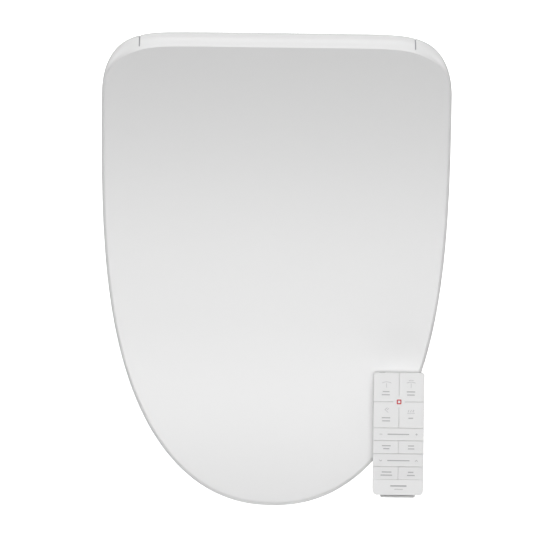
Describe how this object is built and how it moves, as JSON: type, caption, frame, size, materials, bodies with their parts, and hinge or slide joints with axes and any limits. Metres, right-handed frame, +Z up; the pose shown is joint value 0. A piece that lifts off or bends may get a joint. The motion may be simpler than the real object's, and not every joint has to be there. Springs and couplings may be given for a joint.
{
  "type": "electric bidet seat",
  "caption": "Electric bidet seat with a closing lid that wraps its rear hinge, a heated ring seat, a housing with sliding wash wands and warm-air dryer, and a slim key remote.",
  "frame": {"origin": "under the middle of the closed lid, in the plane of the bowl's rim on which the seat's buffers and the mounting plate rest", "axes": "+X to the right seen from above with the hinge end at the top, +Y to the hinge end (the wall), +Z up"},
  "size_m": [0.38, 0.515, 0.0971],
  "materials": {
    "white_gloss": "moulded white plastic, glossy",
    "white_satin": "moulded white plastic, satin",
    "grey_plastic": "moulded grey plastic",
    "dark_plastic": "moulded black plastic",
    "rubber": "soft grey rubber",
    "steel": "pressed steel",
    "brass": "machined",
    "board": "glass-fibre circuit board with solder mask",
    "foil": "thin heating foil",
    "amber": "translucent warm diffuser"
  },
  "bodies": {
    "housing": {"housing_base": "white_satin", "housing_cover": "white_gloss", "mounting_plate": "grey_plastic", "wand_cradle": "white_satin", "rear_wand_motor": "steel", "front_wand_motor": "steel", "water_heater": "grey_plastic", "water_pump": "dark_plastic", "inlet_valve": "grey_plastic", "water_inlet": "brass", "cord_gland": "rubber", "main_board": "board", "blower_case": "grey_plastic", "blower_motor": "steel", "dryer_duct": "white_satin", "lid_damper_left": "dark_plastic", "lid_damper_right": "dark_plastic", "seat_damper_left": "dark_plastic", "seat_damper_right": "dark_plastic", "night_light": "amber"},
    "lid": {"lid_shell": "white_gloss", "lid_arm_left": "white_satin", "lid_arm_right": "white_satin", "remote_dock": "grey_plastic"},
    "seat": {"seat_top": "white_gloss", "seat_base": "white_satin", "seat_heater": "foil", "seat_bracket_left": "steel", "seat_bracket_right": "steel", "seat_bumper_front_left": "rubber", "seat_bumper_front_right": "rubber", "seat_bumper_rear_left": "rubber", "seat_bumper_rear_right": "rubber"},
    "rear_wand": {"rear_wash_wand": "white_gloss"},
    "front_wand": {"front_wash_wand": "white_gloss"},
    "rear_pinion": {"rear_wand_pinion": "grey_plastic"},
    "front_pinion": {"front_wand_pinion": "grey_plastic"},
    "flap": {"dryer_flap": "white_satin"},
    "impeller": {"blower_impeller": "dark_plastic"},
    "filter": {"filter_cartridge": "dark_plastic"},
    "power_button": {"power_button": "grey_plastic"},
    "wash_button": {"wash_button": "grey_plastic"},
    "release_button": {"release_button": "grey_plastic"},
    "remote": {"remote_back": "white_satin", "remote_face": "white_gloss", "remote_board": "board"},
    "battery_tray": {"battery_tray": "white_satin", "coin_cell": "steel"},
    "dryer_key": {"dryer_key": "white_gloss"},
    "eco_key": {"eco_key": "white_gloss"},
    "front_wash_key": {"front_wash_key": "white_gloss"},
    "position_rocker": {"position_rocker": "white_gloss"},
    "pressure_rocker": {"pressure_rocker": "white_gloss"},
    "rear_wash_key": {"rear_wash_key": "white_gloss"},
    "seat_heat_key": {"seat_heat_key": "white_gloss"},
    "stop_key": {"stop_key": "white_gloss"},
    "turbo_wash_key": {"turbo_wash_key": "white_gloss"},
    "wand_clean_key": {"wand_clean_key": "white_gloss"},
    "water_heat_key": {"water_heat_key": "white_gloss"}
  },
  "joints": [
    {"name": "lid_hinge", "type": "hinge", "parent": "housing", "child": "lid", "pos_m": [0, 0.236, 0.074], "axis": [-1, 0, 0], "range_deg": [0, 110]},
    {"name": "seat_hinge", "type": "hinge", "parent": "housing", "child": "seat", "pos_m": [0, 0.104, 0.05], "axis": [-1, 0, 0], "range_deg": [0, 99]},
    {"name": "rear_wand_slide", "type": "slide", "parent": "housing", "child": "rear_wand", "axis": [0, -0.9336, -0.3584], "range_m": [0, 0.076]},
    {"name": "front_wand_slide", "type": "slide", "parent": "housing", "child": "front_wand", "axis": [0, -0.9336, -0.3584], "range_m": [0, 0.076]},
    {"name": "rear_pinion_spin", "type": "hinge", "parent": "housing", "child": "rear_pinion", "pos_m": [-0.0222, 0.14361, 0.03288], "axis": [0, 0.3584, -0.9336], "range_deg": [0, 726]},
    {"name": "front_pinion_spin", "type": "hinge", "parent": "housing", "child": "front_pinion", "pos_m": [0.0222, 0.14361, 0.03288], "axis": [0, -0.3584, 0.9336], "range_deg": [0, 726]},
    {"name": "flap_hinge", "type": "hinge", "parent": "housing", "child": "flap", "pos_m": [0.044, 0.0922, 0.0252], "axis": [-1, 0, 0], "range_deg": [0, 60]},
    {"name": "impeller_spin", "type": "hinge", "parent": "housing", "child": "impeller", "pos_m": [0.045, 0.175, 0.042], "axis": [1, 0, 0], "continuous": true},
    {"name": "filter_slide", "type": "slide", "parent": "housing", "child": "filter", "axis": [1, 0, 0], "range_m": [0, 0.028]},
    {"name": "power_press", "type": "slide", "parent": "housing", "child": "power_button", "axis": [1, 0, 0], "range_m": [0, 0.0012], "stiffness_N_per_m": 600},
    {"name": "wash_press", "type": "slide", "parent": "housing", "child": "wash_button", "axis": [1, 0, 0], "range_m": [0, 0.0012], "stiffness_N_per_m": 600},
    {"name": "release_press", "type": "slide", "parent": "housing", "child": "release_button", "axis": [-1, 0, 0], "range_m": [0, 0.0022], "stiffness_N_per_m": 800},
    {"name": "remote_lift", "type": "slide", "parent": "lid", "child": "remote", "axis": [0, -0.035, 0.9994], "range_m": [0, 0.06]},
    {"name": "battery_tray_slide", "type": "slide", "parent": "remote", "child": "battery_tray", "axis": [0, 0.9994, 0.035], "range_m": [0, 0.026]},
    {"name": "dryer_key_press", "type": "slide", "parent": "remote", "child": "dryer_key", "axis": [0, 0.035, -0.9994], "range_m": [0, 0.0006], "stiffness_N_per_m": 300},
    {"name": "eco_key_press", "type": "slide", "parent": "remote", "child": "eco_key", "axis": [0, 0.035, -0.9994], "range_m": [0, 0.0006], "stiffness_N_per_m": 300},
    {"name": "front_wash_key_press", "type": "slide", "parent": "remote", "child": "front_wash_key", "axis": [0, 0.035, -0.9994], "range_m": [0, 0.0006], "stiffness_N_per_m": 300},
    {"name": "position_rocker_tilt", "type": "hinge", "parent": "remote", "child": "position_rocker", "pos_m": [0.1373, -0.20559, 0.06342], "axis": [0, 0.9994, 0.035], "range_deg": [-1, 1], "stiffness_Nm_per_rad": 0.05},
    {"name": "pressure_rocker_tilt", "type": "hinge", "parent": "remote", "child": "pressure_rocker", "pos_m": [0.1373, -0.17741, 0.06441], "axis": [0, 0.9994, 0.035], "range_deg": [-1, 1], "stiffness_Nm_per_rad": 0.05},
    {"name": "rear_wash_key_press", "type": "slide", "parent": "remote", "child": "rear_wash_key", "axis": [0, 0.035, -0.9994], "range_m": [0, 0.0006], "stiffness_N_per_m": 300},
    {"name": "seat_heat_key_press", "type": "slide", "parent": "remote", "child": "seat_heat_key", "axis": [0, 0.035, -0.9994], "range_m": [0, 0.0006], "stiffness_N_per_m": 300},
    {"name": "stop_key_press", "type": "slide", "parent": "remote", "child": "stop_key", "axis": [0, 0.035, -0.9994], "range_m": [0, 0.0006], "stiffness_N_per_m": 300},
    {"name": "turbo_wash_key_press", "type": "slide", "parent": "remote", "child": "turbo_wash_key", "axis": [0, 0.035, -0.9994], "range_m": [0, 0.0006], "stiffness_N_per_m": 300},
    {"name": "wand_clean_key_press", "type": "slide", "parent": "remote", "child": "wand_clean_key", "axis": [0, 0.035, -0.9994], "range_m": [0, 0.0006], "stiffness_N_per_m": 300},
    {"name": "water_heat_key_press", "type": "slide", "parent": "remote", "child": "water_heat_key", "axis": [0, 0.035, -0.9994], "range_m": [0, 0.0006], "stiffness_N_per_m": 300}
  ],
  "couplings": [
    {"joint": "seat_hinge", "follows": "lid_hinge", "ratio": 0.9},
    {"joint": "rear_pinion_spin", "follows": "rear_wand_slide", "rad_per_m": 166.67},
    {"joint": "front_pinion_spin", "follows": "front_wand_slide", "rad_per_m": 166.67}
  ]
}
